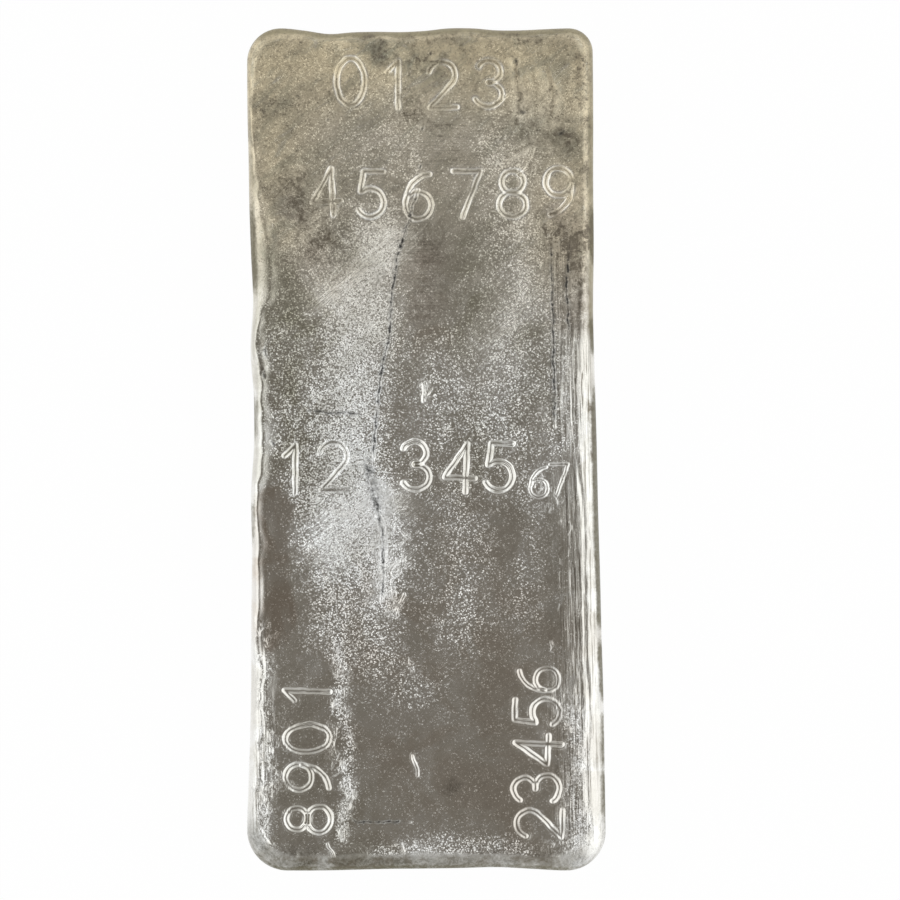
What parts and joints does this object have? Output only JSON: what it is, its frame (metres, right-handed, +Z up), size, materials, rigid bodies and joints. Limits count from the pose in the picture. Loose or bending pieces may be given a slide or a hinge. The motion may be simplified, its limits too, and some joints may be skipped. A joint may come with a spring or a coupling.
{
  "type": "cast silver bar",
  "caption": "Open-mould cast silver bar: a long tapered block with a flat base, sloping walls, a wavy rolled rim and a rough, shallowly hollowed top face with punched figures.",
  "frame": {"origin": "centre of the bar's plan box, on its flat base", "axes": "+Z up from the base to the open cast face, +Y along the length to the narrower end, +X to the right seen from above with the narrower end away"},
  "size_m": [0.1278, 0.3002, 0.0393],
  "materials": {
    "cast_silver": "satin"
  },
  "bodies": {
    "root": {"silver_bar": "cast_silver"}
  },
  "joints": []
}
